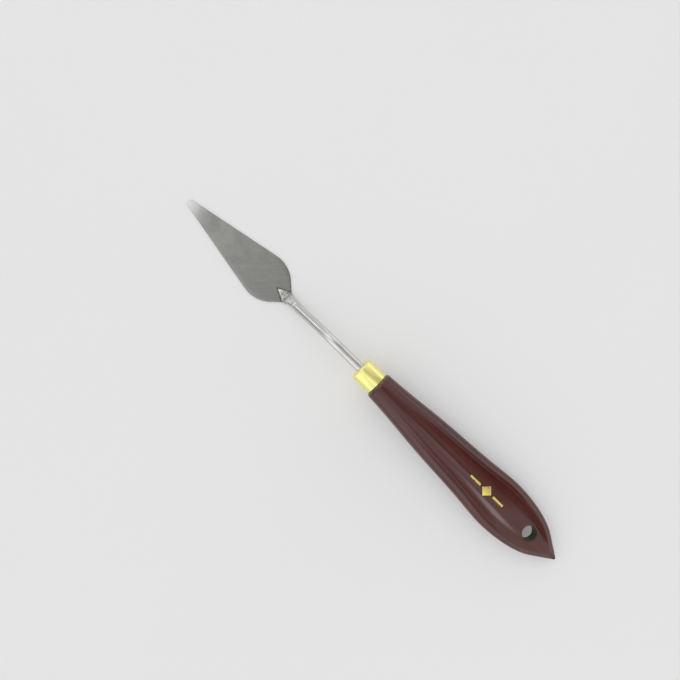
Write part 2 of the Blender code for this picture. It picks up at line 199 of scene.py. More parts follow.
# Outline points nearer the centre line than this are left out
BLADE_ON_AXIS = 0.02 * MM
BLADE_MARGIN_STEPS = 5
BLADE_COLUMNS = 14
PAD_STEP = 0.15 * MM
PAD_STEP_ENDS = 6.0 * MM
SHANK_STEP = 0.4 * MM
SHANK_ARC_STEP = math.radians(1.5)
TANG_STEP = 1.5 * MM
SHANK_SEGMENTS = 64
FERRULE_ARC_STEP = math.radians(12.0)
ROUND_SEGMENTS = 128
HANDLE_STATIONS = 120
NOSE_STEPS = 8
# How much of its quarter turn the rounded nose makes before it is capped
NOSE_LAST_STEP = 0.985
PATCH_STEPS = 8
LIP_STEPS = 8
WALL_STEPS = 6

# ---- The handle's place ----------------------------------------------------------------

HANDLE_AXIS = Vector((-math.cos(HANDLE_PITCH), 0.0, -math.sin(HANDLE_PITCH)))
HANDLE_FRONT = FERRULE_CENTRE + HANDLE_AXIS * (FERRULE_LENGTH / 2.0 + FERRULE_TO_HANDLE)
HANDLE_FRAME = (Matrix.Translation(HANDLE_FRONT) @ Matrix.Rotation(math.pi, 4, "Z")
                @ Matrix.Rotation(HANDLE_PITCH, 4, "Y"))


# ---- Colours (linear) ------------------------------------------------------------------

BLADE_NEAR_TIP = (0.345, 0.344, 0.332)
BLADE_NEAR_HEEL = (0.284, 0.284, 0.264)
BLADE_CLOUD = (0.225, 0.230, 0.215)
BLADE_STROKE = (0.36, 0.36, 0.35)
BLADE_LINE = (0.20, 0.20, 0.19)
# Pale tip: partly ground steel, partly painted glare of light
BLADE_GROUND_AND_GLARE_TIP = (0.72, 0.72, 0.71)
# Round the pad: partly stain, partly painted shade at the join
BLADE_STAIN_AND_SHADE = (0.085, 0.08, 0.065)
# The rounded margin, darker towards the heel
BLADE_DARKER_MARGIN = (0.12, 0.12, 0.11)

ROD_BRIGHT = (0.63, 0.62, 0.60)
ROD_CLOUD = (0.56, 0.55, 0.53)
PAD_LIGHT = (0.55, 0.545, 0.52)
PAD_DARK = (0.24, 0.235, 0.215)
PAD_WORN_TIP = (0.70, 0.70, 0.67)
PAD_DIMPLE = (0.20, 0.18, 0.15)

BRASS_BRIGHT = (0.97, 0.89, 0.34)
BRASS_CLOUD = (0.93, 0.84, 0.29)
BRASS_SPOT = (0.60, 0.47, 0.16)

WOOD_LIGHT = (0.080, 0.017, 0.0125)
WOOD_DARK = (0.050, 0.0105, 0.0085)
WOOD_CLOUD = (0.090, 0.022, 0.017)
WOOD_PORE = (0.020, 0.004, 0.005)
# Bare wood in the hang hole, made lighter as painted light that lifts the hole's shade
WOOD_IN_HOLE = (0.060, 0.048, 0.032)
# Painted reflection of the brass ferrule on the handle's front edge
WOOD_FERRULE_REFLECTION = (0.13, 0.085, 0.035)

FOIL_DEEP = (0.72, 0.56, 0.14)
FOIL_BRIGHT = (0.84, 0.68, 0.22)
FOIL_SPECK = (0.08, 0.02, 0.015)

WELD_STRAW = (0.30, 0.25, 0.18)
WELD_BLUE = (0.16, 0.17, 0.22)

ADHESIVE_AMBER = (0.46, 0.30, 0.12)
ADHESIVE_BUBBLE = (0.62, 0.47, 0.24)

FLOOR_GREY = (0.66, 0.66, 0.66)
FLOOR_PALE = (0.68, 0.68, 0.68)


# ---- Curves ----------------------------------------------------------------------------

def smooth_curve(stations):
    """Function through (position, value) stations with continuous curvature."""
    x = np.array([station[0] for station in stations])
    y = np.array([station[1] for station in stations])
    span = np.diff(x)
    count = len(x)
    system = np.eye(count)
    target = np.zeros(count)
    for i in range(1, count - 1):
        system[i, i - 1:i + 2] = (span[i - 1], 2.0 * (span[i - 1] + span[i]), span[i])
        target[i] = 6.0 * ((y[i + 1] - y[i]) / span[i] - (y[i] - y[i - 1]) / span[i - 1])
    bend = np.linalg.solve(system, target)

    def value(position):
        i = int(np.clip(np.searchsorted(x, position) - 1, 0, count - 2))
        left = position - x[i]
        right = x[i + 1] - position
        h = span[i]
        return float((bend[i] * right ** 3 + bend[i + 1] * left ** 3) / (6.0 * h)
                     + (y[i] / h - bend[i] * h / 6.0) * right
                     + (y[i + 1] / h - bend[i + 1] * h / 6.0) * left)

    return value


def rounded_path(corners, closed, arc_step):
    """Points of a path in which each (x, y, radius) corner is an arc."""
    points = []
    count = len(corners)
    for index, (x, y, radius) in enumerate(corners):
        corner = Vector((x, y))
        is_end = not closed and index in (0, count - 1)
        if is_end or radius <= 0.0:
            points.append(corner)
            continue
        to_previous = (Vector(corners[index - 1][:2]) - corner).normalized()
        to_next = (Vector(corners[(index + 1) % count][:2]) - corner).normalized()
        half_angle = to_previous.angle(to_next) / 2.0
        turn = math.pi - 2.0 * half_angle
        centre = corner + (to_previous + to_next).normalized() * (radius / math.sin(half_angle))
        start = corner + to_previous * (radius / math.tan(half_angle)) - centre
        steps = max(2, math.ceil(turn / arc_step))
        side = 1.0 if start.cross(corner - centre) > 0.0 else -1.0
        for step in range(steps + 1):
            turned = Matrix.Rotation(side * turn * step / steps, 2) @ start
            points.append(centre + turned)
    return points


def evenly_split(points, longest):
    """The same path with no stretch between points longer than this."""
    result = [points[0]]
    for start, end in zip(points, points[1:]):
        steps = max(1, math.ceil((end - start).length / longest))
        result += [start.lerp(end, step / steps) for step in range(1, steps + 1)]
    return result


# ---- Meshes ----------------------------------------------------------------------------

def add_piece(name, vertices, faces, material, unbent=None, marks=None, sharp_degrees=60.0):
    """Smooth mesh object. unbent holds each vertex's place on the straight, unposed piece,
    which materials read as "grain_place"; marks are named lists of 0 to 1 floats, one for
    each vertex."""
    mesh = bpy.data.meshes.new(name)
    mesh.from_pydata([tuple(v) for v in vertices], [], faces)
    mesh.validate()
    solid = bmesh.new()
    solid.from_mesh(mesh)
    bmesh.ops.recalc_face_normals(solid, faces=solid.faces)
    solid.to_mesh(mesh)
    solid.free()
    mesh.shade_smooth()
    mesh.set_sharp_from_angle(angle=math.radians(sharp_degrees))
    places = np.array([tuple(v) for v in (unbent or vertices)], np.float32)
    grain = mesh.attributes.new("grain_place", "FLOAT_VECTOR", "POINT")
    grain.data.foreach_set("vector", places.ravel())
    for mark_name, values in (marks or {}).items():
        mark = mesh.attributes.new(mark_name, "FLOAT", "POINT")
        mark.data.foreach_set("value", np.array(values, np.float32))
    mesh.materials.append(material)
    piece = bpy.data.objects.new(name, mesh)
    bpy.context.scene.collection.objects.link(piece)
    return piece


def bridge(faces, near, far, closed=True):
    """Quads between two loops of vertex numbers."""
    count = len(near)
    for index in range(count if closed else count - 1):
        following = (index + 1) % count
        faces.append((near[index], near[following], far[following], far[index]))


def add_cap(vertices, faces, loop):
    """A fan that closes a loop of vertex numbers, round a new vertex in its middle."""
    vertices.append(sum((Vector(vertices[i]) for i in loop), Vector()) / len(loop))
    for index, number in enumerate(loop):
        faces.append((number, loop[(index + 1) % len(loop)], len(vertices) - 1))


def ring_mesh(rings, joined_ends=False):
    """Vertices and faces of a skin through rings of equal point counts, capped at both ends
    or joined from the last ring to the first."""
    vertices = []
    loops = []
    for ring in rings:
        loops.append(list(range(len(vertices), len(vertices) + len(ring))))
        vertices += ring
    faces = []
    for near, far in zip(loops, loops[1:]):
        bridge(faces, near, far)
    if joined_ends:
        bridge(faces, loops[-1], loops[0])
    else:
        add_cap(vertices, faces, loops[0])
        add_cap(vertices, faces, loops[-1])
    return vertices, faces


def superellipse(half_width, half_height, exponent, segments):
    """(across, upward) points round a section; exponent 2 is an ellipse, more is squarer."""
    points = []
    for segment in range(segments):
        angle = 2.0 * math.pi * segment / segments
        cosine = math.cos(angle)
        sine = math.sin(angle)
        points.append((math.copysign(abs(cosine) ** (2.0 / exponent), cosine) * half_width,
                       math.copysign(abs(sine) ** (2.0 / exponent), sine) * half_height))
    return points


# ---- Node materials --------------------------------------------------------------------

def feed(socket, value):
    """Links an output to the socket, or sets the socket to a constant."""
    if isinstance(value, bpy.types.NodeSocket):
        socket.id_data.links.new(value, socket)
    else:
        socket.default_value = value


class Surface:
    """A material with a Principled BSDF, and short calls that add nodes in front of it.

    Its place is the grain place that add_piece stores. A CAD node has none, and its own
    coordinates serve instead."""

    def __init__(self, name, on_cad_node=False):
        self.material = bpy.data.materials.new(name)
        self.material.use_nodes = True
        self.tree = self.material.node_tree
        self.shader = self.tree.nodes["Principled BSDF"]
        if on_cad_node:
            self.place = self.node("ShaderNodeTexCoord").outputs["Object"]
        else:
            stored = self.node("ShaderNodeAttribute", attribute_name="grain_place")
            self.place = stored.outputs["Vector"]

    def node(self, kind, **settings):
        made = self.tree.nodes.new(kind)
        for key, value in settings.items():
            setattr(made, key, value)
        return made

    def set(self, **values):
        """Principled sockets by name, with _ for a space: numbers, colours or outputs."""
        for key, value in values.items():
            feed(self.shader.inputs[key.replace("_", " ")], value)

    def scaled_place(self, scale, turn):
        """The place turned about Z and then scaled, so that stretched noise can run askew."""
        turned = self.node("ShaderNodeMapping")
        feed(turned.inputs["Vector"], self.place)
        turned.inputs["Rotation"].default_value = (0.0, 0.0, turn)
        scaled = self.node("ShaderNodeMapping")
        feed(scaled.inputs["Vector"], turned.outputs["Vector"])
        scaled.inputs["Scale"].default_value = scale
        return scaled.outputs["Vector"]

    def noise(self, scale, detail=3.0, rough=0.55, turn=0.0, warp=0.0):
        """Noise from 0 to 1 with `scale` features per metre along each turned axis."""
        made = self.node("ShaderNodeTexNoise")
        feed(made.inputs["Vector"], self.scaled_place(scale, turn))
        made.inputs["Scale"].default_value = 1.0
        made.inputs["Detail"].default_value = detail
        made.inputs["Roughness"].default_value = rough
        made.inputs["Distortion"].default_value = warp
        return made.outputs["Fac"]

    def steps(self, value, low, high, from_value=0.0, to_value=1.0):
        """value mapped smoothly from low..high to from_value..to_value."""
        made = self.node("ShaderNodeMapRange", interpolation_type="SMOOTHSTEP")
        feed(made.inputs["Value"], value)
        for key, number in (("From Min", low), ("From Max", high),
                            ("To Min", from_value), ("To Max", to_value)):
            made.inputs[key].default_value = number
        return made.outputs["Result"]

    def maths(self, operation, first, second=0.0, third=0.0):
        """One Math node's result."""
        made = self.node("ShaderNodeMath", operation=operation)
        for socket, value in zip(made.inputs, (first, second, third)):
            feed(socket, value)
        return made.outputs["Value"]

    def blend(self, share, first, second):
        """Colour that goes from first to second as share goes from 0 to 1."""
        made = self.node("ShaderNodeMix", data_type="RGBA")
        feed(made.inputs["Factor"], share)
        feed(made.inputs["A"], (*first, 1.0) if isinstance(first, tuple) else first)
        feed(made.inputs["B"], (*second, 1.0) if isinstance(second, tuple) else second)
        return made.outputs["Result"]

    def parts(self):
        """The place's X, Y and Z."""
        made = self.node("ShaderNodeSeparateXYZ")
        feed(made.inputs["Vector"], self.place)
        return made.outputs["X"], made.outputs["Y"], made.outputs["Z"]

    def mark(self, name):
        """One of the piece's marks, from 0 to 1."""
        return self.node("ShaderNodeAttribute", attribute_name=name).outputs["Fac"]

    def bump(self, height, distance, strength=1.0, under=None):
        """Normal of a relief `distance` metres deep, on top of the normal `under`."""
        made = self.node("ShaderNodeBump")
        made.inputs["Strength"].default_value = strength
        made.inputs["Distance"].default_value = distance
        feed(made.inputs["Height"], height)
        if under is not None:
            feed(made.inputs["Normal"], under)
        return made.outputs["Normal"]


def blade_steel():
    """Satin spring steel, lighter towards its tip, partly as ground steel and partly as a
    painted glare of light; darker round the welded pad, partly as a stain and partly as painted
    shade at the join.
    """
    s = Surface("blade_steel")
    lines = s.noise((160.0, 5200.0, 500.0))
    strokes = s.noise((110.0, 1000.0, 500.0), turn=0.80)
    cloud = s.noise((110.0, 150.0, 130.0), detail=4.0, rough=0.65)
    x, y, _ = s.parts()
    # Lighter towards the tip: partly ground steel, partly a painted sheen of reflected light
    towards_heel = s.steps(x, 4.0 * MM, 50.0 * MM)
    colour = s.blend(towards_heel, BLADE_NEAR_TIP, BLADE_NEAR_HEEL)
    colour = s.blend(s.steps(cloud, 0.40, 0.66, 0.0, 0.55), colour, BLADE_CLOUD)
    colour = s.blend(s.steps(strokes, 0.42, 0.68, 0.0, 0.30), colour, BLADE_STROKE)
    colour = s.blend(s.steps(lines, 0.35, 0.70, 0.0, 0.08), colour, BLADE_LINE)
    # Pale last millimetres: partly ground steel, partly a painted glare of light
    ground_and_glare = s.maths("MULTIPLY_ADD", s.noise((500.0, 700.0, 500.0)), 2.0 * MM, x)
    colour = s.blend(s.steps(ground_and_glare, 0.5 * MM, 11.0 * MM, 1.0, 0.0), colour, BLADE_GROUND_AND_GLARE_TIP)
    # Dark band on the blade round the pad: partly stain, partly painted shade in the join
    # between pad and blade
    from_pad = s.maths("SUBTRACT", x, PAD_START)
    beside = s.maths("MULTIPLY", s.maths("ABSOLUTE", y), math.cos(PAD_SIDE_ANGLE))
    outside = s.maths("SUBTRACT", beside,
                      s.maths("MULTIPLY", from_pad, math.sin(PAD_SIDE_ANGLE)))
    ragged = s.maths("MULTIPLY_ADD", s.noise((900.0, 900.0, 900.0)), 0.25 * MM, outside)
    stain_and_shade = s.steps(ragged, 0.40 * MM, 0.90 * MM, 0.9, 0.0)
    colour = s.blend(stain_and_shade, colour, BLADE_STAIN_AND_SHADE)
    # Darker round the rounded margin, more towards the heel
    margin_darkening = s.maths("MULTIPLY", s.mark("edge"), s.steps(x, 8.0 * MM, 45.0 * MM, 0.2, 0.9))
    colour = s.blend(margin_darkening, colour, BLADE_DARKER_MARGIN)
    rough = s.steps(cloud, 0.3, 0.7, 0.31, 0.36)
    s.set(Base_Color=colour, Metallic=1.0, Roughness=rough,
          Normal=s.bump(lines, 0.003 * MM, 0.4))
    return s.material


def shank_steel():
    """Bright drawn rod with fine lines along it, dull and heat-tinted at its forged pad."""
    s = Surface("shank_steel")
    lines = s.noise((70.0, 5200.0, 5200.0), detail=3.0)
    cloud = s.noise((220.0, 500.0, 500.0), detail=4.0)
    x, _, _ = s.parts()
    ragged = s.maths("MULTIPLY_ADD", s.noise((600.0, 900.0, 900.0)), 3.0 * MM, x)
    forged = s.steps(ragged, 6.5 * MM, 12.0 * MM, 1.0, 0.0)
    bright = s.blend(s.steps(cloud, 0.4, 0.7), ROD_BRIGHT, ROD_CLOUD)
    mottle = s.noise((1300.0, 1300.0, 1300.0), detail=2.0)
    dull = s.blend(s.steps(mottle, 0.35, 0.62), PAD_LIGHT, PAD_DARK)
    dull = s.blend(s.steps(x, 0.8 * MM, 3.2 * MM, 0.9, 0.0), dull, PAD_WORN_TIP)
    colour = s.blend(forged, bright, dull)
    colour = s.blend(s.maths("MULTIPLY", s.mark("dimple"), 0.7), colour, PAD_DIMPLE)
    rough = s.maths("MULTIPLY_ADD", forged, 0.14, s.steps(cloud, 0.3, 0.7, 0.15, 0.22))
    drawn = s.bump(lines, 0.004 * MM, 0.6)
    hammered = s.bump(s.maths("MULTIPLY", mottle, forged), 0.35 * MM, 0.8, drawn)
    s.set(Base_Color=colour, Metallic=1.0, Roughness=rough, Normal=hammered)
    return s.material


def ferrule_brass():
    """Bright drawn brass with fine rings round it and a faint tarnish."""
    s = Surface("ferrule_brass")
    rings = s.noise((9000.0, 120.0, 120.0), detail=3.0)
    cloud = s.noise((350.0, 350.0, 350.0), detail=4.0)
    colour = s.blend(s.steps(cloud, 0.45, 0.75), BRASS_BRIGHT, BRASS_CLOUD)
    spots = s.steps(s.noise((1400.0, 1400.0, 1400.0), detail=2.0), 0.68, 0.76)
    colour = s.blend(s.maths("MULTIPLY", spots, 0.3), colour, BRASS_SPOT)
    rough = s.maths("MULTIPLY_ADD", s.steps(cloud, 0.3, 0.8), 0.08, 0.29)
    s.set(Base_Color=colour, Metallic=1.0, Roughness=rough,
          Normal=s.bump(rings, 0.004 * MM, 0.6))
    return s.material


def lacquered_wood():
    """Maroon-stained hardwood under a thick glossy lacquer."""
    s = Surface("lacquered_wood")
    grain = s.noise((14.0, 420.0, 420.0), detail=5.0, warp=0.6)
    pores = s.noise((130.0, 3800.0, 3800.0), detail=2.0)
    cloud = s.noise((45.0, 90.0, 90.0), detail=2.0)
    colour = s.blend(s.steps(grain, 0.35, 0.65), WOOD_LIGHT, WOOD_DARK)
    colour = s.blend(s.steps(cloud, 0.4, 0.7, 0.0, 0.45), colour, WOOD_CLOUD)
    open_pores = s.steps(pores, 0.60, 0.70)
    colour = s.blend(s.maths("MULTIPLY", open_pores, 0.55), colour, WOOD_PORE)
    inside = s.mark("hole_wall")
    # Bare wood in the hang hole, lightened as painted light that lifts the shade inside it
    colour = s.blend(inside, colour, WOOD_IN_HOLE)
    x, _, _ = s.parts()
    # Painted reflection of the brass ferrule in the handle's front edge
    colour = s.blend(s.steps(x, 0.3 * MM, 1.2 * MM, 0.8, 0.0), colour, WOOD_FERRULE_REFLECTION)
    sunk = s.bump(open_pores, 0.012 * MM, 0.4)
    peel = s.bump(s.noise((260.0, 420.0, 420.0), detail=2.0), 0.02 * MM, 0.5)
    s.set(Base_Color=colour, Metallic=0.0, Specular_IOR_Level=0.0,
          Roughness=s.maths("MULTIPLY_ADD", inside, 0.15, 0.42), Normal=sunk,
          Coat_Weight=s.maths("SUBTRACT", 1.0, s.maths("MULTIPLY", inside, 0.7)),
          Coat_Roughness=0.07, Coat_IOR=1.5, Coat_Normal=peel)
    return s.material


def gold_foil():
    """Hot-stamped gold foil, thin enough to show the wood's pores as dark specks."""
    s = Surface("gold_foil", on_cad_node=True)
    specks = s.steps(s.noise((700.0, 2600.0, 2600.0), detail=3.0), 0.60, 0.68)
    tone = s.noise((500.0, 500.0, 500.0), detail=2.0)
    gold = s.blend(tone, FOIL_DEEP, FOIL_BRIGHT)
    s.set(Base_Color=s.blend(specks, gold, FOIL_SPECK),
          Metallic=s.steps(specks, 0.0, 1.0, 1.0, 0.0),
          Roughness=s.steps(tone, 0.3, 0.7, 0.26, 0.38),
          Normal=s.bump(tone, 0.01 * MM, 0.5))
    return s.material


def weld_metal():
    """Fused steel with a straw and blue heat tint."""
    s = Surface("weld_metal", on_cad_node=True)
    tone = s.noise((2500.0, 2500.0, 2500.0), detail=3.0)
    s.set(Base_Color=s.blend(tone, WELD_STRAW, WELD_BLUE), Metallic=1.0,
          Roughness=s.steps(tone, 0.3, 0.7, 0.4, 0.6), Normal=s.bump(tone, 0.03 * MM))
    return s.material


def set_adhesive():
    """Amber set adhesive with small bubbles."""
    s = Surface("set_adhesive", on_cad_node=True)
    bubbles = s.steps(s.noise((2600.0, 2600.0, 2600.0), detail=1.0), 0.62, 0.70)
    s.set(Base_Color=s.blend(bubbles, ADHESIVE_AMBER, ADHESIVE_BUBBLE),
          Roughness=s.steps(bubbles, 0.0, 1.0, 0.3, 0.5), Normal=s.bump(bubbles, 0.05 * MM))
    return s.material


# ---- Blade -----------------------------------------------------------------------------

def blade_half_outline():
    """Points from the blade's tip to the middle of its end, as (from_tip, half width)."""
    apex = -BLADE_TIP_RADIUS * (1.0 / math.sin(BLADE_SIDE_ANGLE) - 1.0)
    shoulder_half = (BLADE_SHOULDER - apex) * math.tan(BLADE_SIDE_ANGLE)
    neck = BLADE_SHOULDER + (shoulder_half - BLADE_NECK_HALF_WIDTH) / math.tan(BLADE_HEEL_ANGLE)
    half = [
        (BLADE_SHOULDER, shoulder_half, BLADE_SHOULDER_RADIUS),
        (neck, BLADE_NECK_HALF_WIDTH, BLADE_NECK_RADIUS),
        (BLADE_LENGTH, BLADE_NECK_HALF_WIDTH, BLADE_END_RADIUS),
    ]
    other = [(x, -y, radius) for x, y, radius in reversed(half)]
    outline = rounded_path([(apex, 0.0, BLADE_TIP_RADIUS)] + half + other, True,
                           BLADE_ARC_STEP)
    upper = sorted((p for p in outline if p.y > BLADE_ON_AXIS), key=lambda p: (p.x, -p.y))
    path = [Vector((0.0, 0.0))] + upper + [Vector((BLADE_LENGTH, 0.0))]
    return evenly_split(path, BLADE_STEP)


def build_blade(material):
    """Sheet with a rounded margin: loops follow the outline, rows cross the flat faces."""
    half = blade_half_outline()
    outline = half + [Vector((p.x, -p.y)) for p in half[-2:0:-1]]
    count = len(outline)
    normals = []
    for index in range(count):
        ahead = outline[(index + 1) % count] - outline[index - 1]
        normals.append(Vector((-ahead.y, ahead.x)).normalized())
    if normals[count // 4].y < 0.0:
        normals = [-n for n in normals]

    vertices = []
    unbent = []
    edge_marks = []
    loops = []

    def add_loop(inset, height_share, mark):
        loop = []
        for point, normal in zip(outline, normals):
            inward = point - normal * inset
            thickness = BLADE_THICKNESS_TIP + (BLADE_TOP - BLADE_THICKNESS_TIP) * (
                point.x / BLADE_LENGTH)
            y = 0.0 if point.y == 0.0 else inward.y
            vertices.append(Vector((TIP_X - inward.x, y, thickness * height_share)))
            unbent.append(Vector((inward.x, y, thickness * height_share)))
            edge_marks.append(mark)
            loop.append(len(vertices) - 1)
        loops.append(loop)

    for step in range(BLADE_MARGIN_STEPS + 1):
        angle = math.pi * step / BLADE_MARGIN_STEPS - math.pi / 2.0
        add_loop(BLADE_MARGIN * (1.0 - math.cos(angle)), 0.5 + 0.5 * math.sin(angle),
                 math.cos(angle) ** 0.5 if step not in (0, BLADE_MARGIN_STEPS) else 0.0)
    faces = []
    for near, far in zip(loops, loops[1:]):
        bridge(faces, near, far)

    last = len(half) - 1
    for loop in (loops[0], loops[-1]):
        rows = []
        for index in range(1, last):
            left = loop[index]
            right = loop[count - index]
            row = [left]
            for column in range(1, BLADE_COLUMNS):
                share = column / BLADE_COLUMNS
                vertices.append(vertices[left].lerp(vertices[right], share))
                unbent.append(unbent[left].lerp(unbent[right], share))
                edge_marks.append(0.0)
                row.append(len(vertices) - 1)
            rows.append(row + [right])
        for near, far in zip(rows, rows[1:]):
            bridge(faces, near, far, closed=False)
        for row, end in ((rows[0], loop[0]), (rows[-1], loop[last])):
            for first, second in zip(row, row[1:]):
                faces.append((first, second, end))
    piece = add_piece("blade_sheet", vertices, faces, material, unbent,
                      {"edge": edge_marks}, sharp_degrees=80.0)
    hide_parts("blade")
    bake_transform(piece)


# ---- Shank -----------------------------------------------------------------------------

def handle_axis_point(position):
    """(from_tip, height) of a point on the handle's axis."""
    point = HANDLE_FRONT + HANDLE_AXIS * position
    return TIP_X - point.x, point.z


def shank_path():
    """Centre line as (from_tip, height), pad first."""
    pad_middle = (BLADE_TOP + PAD_TOP) / 2.0
    front = handle_axis_point(0.0)
    upper_position = (UPPER_BEND - front[0]) / math.cos(HANDLE_PITCH)
    upper = handle_axis_point(upper_position)
    tang_end = handle_axis_point(TANG_DEPTH)
    bends = rounded_path([
        (PAD_START, pad_middle, 0.0),
        (LOWER_BEND, pad_middle, LOWER_BEND_RADIUS),
        (upper[0], upper[1], UPPER_BEND_RADIUS),
        (tang_end[0], tang_end[1], 0.0),
    ], False, SHANK_ARC_STEP)
    pad_end = bends[0] + Vector((PAD_STEP_ENDS, 0.0))
    return (evenly_split([bends[0], pad_end], PAD_STEP)[:-1]
            + evenly_split([pad_end] + bends[1:-1], SHANK_STEP)[:-1]
            + evenly_split(bends[-2:], TANG_STEP))


def shank_section(distance):
    """Half width, reach below and above the centre line, and exponent."""
    for before, after in zip(SHANK_SECTIONS, SHANK_SECTIONS[1:]):
        if distance <= after[0]:
            share = (distance - before[0]) / (after[0] - before[0])
            if before[0] >= SMOOTH_SECTIONS_FROM:
                share = share * share * (3.0 - 2.0 * share)
            return tuple(a + (b - a) * share for a, b in zip(before[1:], after[1:]))
    return SHANK_SECTIONS[-1][1:]


def dimple_depth(distance, across):
    """How far the weld dimples sink the pad's top at a point."""
    sunk = 0.0
    for station, side, radius, depth in DIMPLES:
        reach = math.hypot(distance - station, across - side) / radius
        if reach < DIMPLE_REACH:
            rim = RIM_HEIGHT * math.exp(-((reach - RIM_RADIUS) ** 2) * RIM_SHARPNESS)
            sunk += depth * (math.exp(-(reach ** 2) * BOWL_SHARPNESS) - rim)
    return sunk


def build_shank(material):
    """Rod swept along its cranked path; its pad is forged, with weld dimples on top."""
    path = shank_path()
    rings = []
    unbent = []
    dimpled = []
    distance = 0.0
    for index, point in enumerate(path):
        before = path[max(index - 1, 0)]
        after = path[min(index + 1, len(path) - 1)]
        direction = (after - before).normalized()
        upward = Vector((direction.y, 0.0, direction.x))
        distance += (point - before).length
        half_width, below, above, exponent = shank_section(distance)
        trim = TANG_CHAMFER if index == len(path) - 1 else 0.0
        centre = Vector((TIP_X - point.x, 0.0, point.y))
        ring = []
        for across, up in superellipse(half_width - trim, 1.0, exponent, SHANK_SEGMENTS):
            height = up * ((above if up > 0.0 else below) - trim)
            if above + below < 2.0 * (SHANK_RADIUS - trim) - FULL_ROUND_SLACK:
                middle = (above - below) / 2.0
                height = middle + up * (above + below) / 2.0
            sunk = dimple_depth(distance, across) if up > 0.0 else 0.0
            ring.append(centre + Vector((0.0, 1.0, 0.0)) * across + upward * (height - sunk))
            unbent.append(Vector((distance, across, height)))
            dimpled.append(min(1.0, max(0.0, sunk / DARKEST_DIMPLE)))
        rings.append(ring)
    vertices, faces = ring_mesh(rings)
    for cap_distance in (0.0, distance):
        unbent.append(Vector((cap_distance, 0.0, 0.0)))
        dimpled.append(0.0)
    piece = add_piece("shank_rod", vertices, faces, material, unbent, {"dimple": dimpled})
    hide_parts("shank")
    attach(piece, GRIP_BODY)


# ---- Handle group ----------------------------------------------------------------------

half_width_at = smooth_curve(HANDLE_HALF_WIDTHS)
half_thickness_at = smooth_curve(HANDLE_HALF_THICKNESSES)


def handle_halves(position):
    """Half width and half thickness, drawn in to a rounded point at the tail."""
    nose_start = HANDLE_LENGTH - HANDLE_NOSE
    held = min(position, nose_start)
    width = half_width_at(held)
    thickness = half_thickness_at(held)
    if position > nose_start:
        drawn = math.sqrt(max(0.0, 1.0 - ((position - nose_start) / HANDLE_NOSE) ** 2))
        width *= drawn
        thickness *= drawn
    return width, thickness


def handle_top(position, y):
    """Height of the upper side above the handle's axis."""
    width, thickness = handle_halves(position)
    return thickness * math.sqrt(max(0.0, 1.0 - (y / width) ** 2))


def place_on_handle(points):
    """World places of points that are given in the handle's own frame."""
    return [HANDLE_FRAME @ Vector(point) for point in points]


def handle_outer_stations():
    """Distances from the front face at which the outer skin has rings, closer at the nose."""
    nose_start = HANDLE_LENGTH - HANDLE_NOSE
    behind_edge = nose_start - HANDLE_CHAMFER
    stations = [HANDLE_CHAMFER + behind_edge * step / HANDLE_STATIONS
                for step in range(1, HANDLE_STATIONS + 1)]
    for step in range(1, NOSE_STEPS + 1):
        turned = math.pi / 2.0 * step / NOSE_STEPS * NOSE_LAST_STEP
        stations.append(nose_start + HANDLE_NOSE * math.sin(turned))
    return stations


def handle_inner_rings(circle):
    """Rings of the bore, the tenon and the rounded front edge, from the inside out."""
    edge_start = HANDLE_FRONT_RADIUS - HANDLE_CHAMFER
    profile = [
        (TANG_BORE_DEPTH, TANG_BORE_RADIUS),
        (-TENON_LENGTH, TANG_BORE_RADIUS),
        (-TENON_LENGTH, TENON_RADIUS - TENON_CHAMFER),
        (-TENON_LENGTH + TENON_CHAMFER, TENON_RADIUS),
        (0.0, TENON_RADIUS),
        (0.0, edge_start - HANDLE_FACE_MARGIN),
        (HANDLE_FACE_DROP, edge_start),
        (HANDLE_CHAMFER * 0.5, HANDLE_FRONT_RADIUS - HANDLE_CHAMFER * 0.42),
        (HANDLE_CHAMFER * 0.85, HANDLE_FRONT_RADIUS - HANDLE_CHAMFER * 0.10),
    ]
    return [[Vector((x, radius * c, radius * s)) for c, s in circle] for x, radius in profile]


